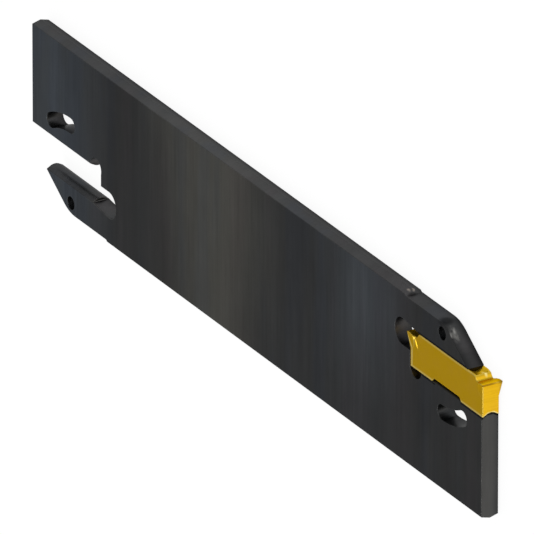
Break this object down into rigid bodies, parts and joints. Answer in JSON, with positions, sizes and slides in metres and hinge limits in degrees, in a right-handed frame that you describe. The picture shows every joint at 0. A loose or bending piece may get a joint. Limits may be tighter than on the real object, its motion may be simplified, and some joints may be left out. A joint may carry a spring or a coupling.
{
  "type": "parting blade",
  "caption": "Flat steel parting blade for a lathe, with V-shaped clamping edges, a springy jaw at each end and a gold-coated cutting insert held in the jaw.",
  "frame": {"origin": "below the middle of the part's box, on the plane that its lowest points touch when it lies flat on its back", "axes": "+X along the blade towards the end that holds the insert, +Y across the blade's height towards that insert's jaw, +Z through the thickness, out of the front face"},
  "size_m": [0.1508, 0.032, 0.004],
  "materials": {
    "blackened_steel": "blackened, fine ground, satin",
    "gold_coated_carbide": "thin gold-coloured hard coating over pressed and sintered carbide, satin"
  },
  "bodies": {
    "root": {"blade": "blackened_steel", "cutting_insert": "gold_coated_carbide"}
  },
  "joints": []
}
